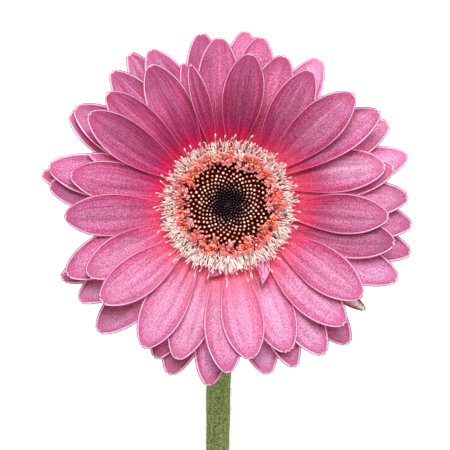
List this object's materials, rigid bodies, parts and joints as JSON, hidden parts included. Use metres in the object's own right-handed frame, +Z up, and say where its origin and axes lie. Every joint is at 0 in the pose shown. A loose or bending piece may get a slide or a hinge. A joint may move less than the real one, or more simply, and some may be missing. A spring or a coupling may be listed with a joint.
{
  "type": "cut gerbera flower",
  "caption": "Cut gerbera daisy lying on its back: pink ray florets in layers round a dark disc with a pale bristle fringe, on a bare green stem.",
  "frame": {"origin": "middle of the footprint, on the surface that the flower lies on", "axes": "+Z up from that surface, +Y from the stem's cut end towards the flower head"},
  "size_m": [0.1098, 0.2842, 0.0611],
  "materials": {
    "petal": "soft pink ray floret, crimson at its base, pale along its margin, satin",
    "disc": "near-black maroon florets in bud with cream tips, matt",
    "trans_floret": "coral red short florets with pale pink lips, satin",
    "pappus": "cream white bristles, matt",
    "bract": "green pointed bracts, darker along the middle, softly hairy",
    "stem": "mid green stem with fine hairs, matt, paler at the cut"
  },
  "bodies": {
    "root": {"ray_floret_01": "petal", "ray_floret_02": "petal", "ray_floret_03": "petal", "ray_floret_04": "petal", "ray_floret_05": "petal", "ray_floret_06": "petal", "ray_floret_07": "petal", "ray_floret_08": "petal", "ray_floret_09": "petal", "ray_floret_10": "petal", "ray_floret_11": "petal", "ray_floret_12": "petal", "ray_floret_13": "petal", "ray_floret_14": "petal", "ray_floret_15": "petal", "ray_floret_16": "petal", "ray_floret_17": "petal", "ray_floret_18": "petal", "ray_floret_19": "petal", "ray_floret_20": "petal", "ray_floret_21": "petal", "ray_floret_22": "petal", "ray_floret_23": "petal", "ray_floret_24": "petal", "ray_floret_25": "petal", "ray_floret_26": "petal", "ray_floret_27": "petal", "ray_floret_28": "petal", "ray_floret_29": "petal", "ray_floret_30": "petal", "ray_floret_31": "petal", "ray_floret_32": "petal", "ray_floret_33": "petal", "ray_floret_34": "petal", "ray_floret_35": "petal", "ray_floret_36": "petal", "ray_floret_37": "petal", "ray_floret_38": "petal", "ray_floret_39": "petal", "ray_floret_40": "petal", "ray_floret_41": "petal", "ray_floret_42": "petal", "ray_floret_43": "petal", "ray_floret_44": "petal", "ray_floret_45": "petal", "ray_floret_46": "petal", "ray_floret_47": "petal", "ray_floret_48": "petal", "ray_floret_49": "petal", "ray_floret_50": "petal", "ray_floret_51": "petal", "ray_floret_52": "petal", "ray_floret_53": "petal", "ray_floret_54": "petal", "disc_florets": "disc", "trans_florets": "trans_floret", "pappus": "pappus", "bracts_inner_whorl": "bract", "bracts_outer_whorl": "bract", "stem": "stem"}
  },
  "joints": []
}
